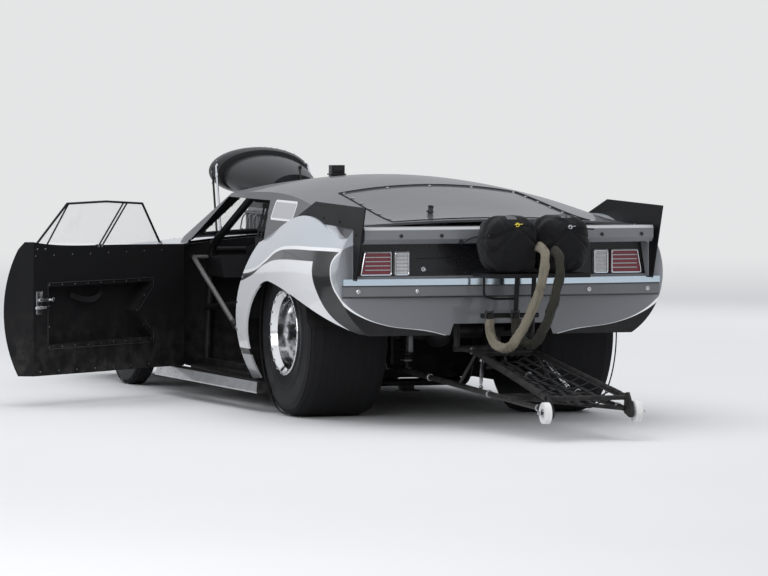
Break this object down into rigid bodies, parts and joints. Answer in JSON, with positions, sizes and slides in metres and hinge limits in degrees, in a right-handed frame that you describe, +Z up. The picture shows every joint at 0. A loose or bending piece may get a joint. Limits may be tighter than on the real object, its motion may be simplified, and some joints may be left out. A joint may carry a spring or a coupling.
{
  "type": "drag racing car",
  "caption": "Fastback doorslammer drag car with a tube chassis, wide rear slicks, a forward-facing injector scoop, wheelie bars, parachute packs and an open left door.",
  "frame": {"origin": "middle of the jack pad's underside, on the centreline ahead of the rear axle", "axes": "+X forward along the car, +Y to the driver's left, +Z up"},
  "size_m": [6.212, 2.904, 1.3133],
  "materials": {
    "silver_paint": "satin",
    "gunmetal_paint": "gloss",
    "black_carbon": "satin",
    "black_tube": "satin",
    "black_tin": "matte",
    "clear_sheet": "clear",
    "lamp_lens": "gloss",
    "chrome_trim": "mirror",
    "machined": "machined",
    "polished_rim": "polished",
    "axle_steel": "brushed",
    "tyre_rubber": "worn",
    "seat_cloth": "woven",
    "pack_cloth": "woven",
    "white_plastic": "worn",
    "black_plastic": "moulded"
  },
  "bodies": {
    "rear_wheels": {"left_rear_tyre": "tyre_rubber", "left_rear_rim": "polished_rim", "right_rear_tyre": "tyre_rubber", "right_rear_rim": "polished_rim", "rear_axle_shaft": "axle_steel"},
    "left_steering_knuckle": {"left_knuckle": "machined"},
    "right_steering_knuckle": {"right_knuckle": "machined"},
    "left_front_wheel": {"left_front_tyre": "tyre_rubber", "left_front_rim": "polished_rim"},
    "right_front_wheel": {"right_front_tyre": "tyre_rubber", "right_front_rim": "polished_rim"},
    "left_door_assembly": {"left_door": "black_carbon", "left_window_frame": "black_tube"},
    "right_door_assembly": {"right_door": "black_carbon", "right_window_frame": "black_tube"},
    "left_wheelie_roller": {"left_wheelie_wheel": "white_plastic"},
    "right_wheelie_roller": {"right_wheelie_wheel": "white_plastic"},
    "car_body": {"chassis_frame": "black_tube", "dashboard": "black_carbon", "driver_seat": "seat_cloth", "engine_block": "machined", "firewall": "black_tin", "floor_panel": "black_tin", "four_link_bars": "black_tube", "front_clip": "silver_paint", "front_splitter": "black_carbon", "grille": "black_tin", "hood": "gunmetal_paint", "injector_scoop": "black_carbon", "left_control_arm": "black_tube", "left_end_plate": "black_carbon", "left_headers": "axle_steel", "left_parachute_pack": "pack_cloth", "left_rocker": "silver_paint", "left_tail_lamps": "lamp_lens", "left_tether": "pack_cloth", "parachute_bracket": "black_tube", "quarter_panels_and_deck": "silver_paint", "rear_axle_housing": "axle_steel", "rear_bulkhead": "black_tin", "rear_bumper": "chrome_trim", "rear_window_panel": "gunmetal_paint", "right_control_arm": "black_tube", "right_end_plate": "black_carbon", "right_headers": "axle_steel", "right_parachute_pack": "pack_cloth", "right_rocker": "silver_paint", "right_tail_lamps": "lamp_lens", "right_tether": "pack_cloth", "roll_cage": "black_tube", "roof_box": "black_plastic", "roof_shell": "gunmetal_paint", "spoiler": "silver_paint", "steering_wheel": "black_tube", "supercharger": "machined", "tail_panel": "black_carbon", "wheel_tubs": "black_tin", "wheelie_bar_frame": "black_tube", "wheelie_net": "pack_cloth", "windshield": "clear_sheet"}
  },
  "joints": [
    {"name": "rear_wheels_roll", "type": "hinge", "parent": "car_body", "child": "rear_wheels", "pos_m": [-0.45, 0, 0.342], "axis": [0, 1, 0], "continuous": true},
    {"name": "left_steer", "type": "hinge", "parent": "car_body", "child": "left_steering_knuckle", "pos_m": [2.471, 0.64, 0.242], "axis": [0, 0, 1], "range_deg": [-20, 20]},
    {"name": "right_steer", "type": "hinge", "parent": "car_body", "child": "right_steering_knuckle", "pos_m": [2.471, -0.64, 0.242], "axis": [0, 0, 1], "range_deg": [-20, 20]},
    {"name": "left_front_wheel_roll", "type": "hinge", "parent": "left_steering_knuckle", "child": "left_front_wheel", "pos_m": [2.471, 0.748, 0.242], "axis": [0, 1, 0], "continuous": true},
    {"name": "right_front_wheel_roll", "type": "hinge", "parent": "right_steering_knuckle", "child": "right_front_wheel", "pos_m": [2.471, -0.748, 0.242], "axis": [0, 1, 0], "continuous": true},
    {"name": "left_door_swing", "type": "hinge", "parent": "car_body", "child": "left_door_assembly", "pos_m": [1.498, 0.88, 0.412], "axis": [0, 0, 1], "range_deg": [0, 54.5]},
    {"name": "right_door_swing", "type": "hinge", "parent": "car_body", "child": "right_door_assembly", "pos_m": [1.498, -0.88, 0.412], "axis": [0, 0, 1], "range_deg": [0, 54.5]},
    {"name": "left_wheelie_roll", "type": "hinge", "parent": "car_body", "child": "left_wheelie_roller", "pos_m": [-2.65, 0.235, 0.052], "axis": [0, 1, 0], "continuous": true},
    {"name": "right_wheelie_roll", "type": "hinge", "parent": "car_body", "child": "right_wheelie_roller", "pos_m": [-2.65, -0.235, 0.052], "axis": [0, 1, 0], "continuous": true}
  ],
  "couplings": [
    {"joint": "right_steer", "follows": "left_steer", "ratio": 1}
  ]
}
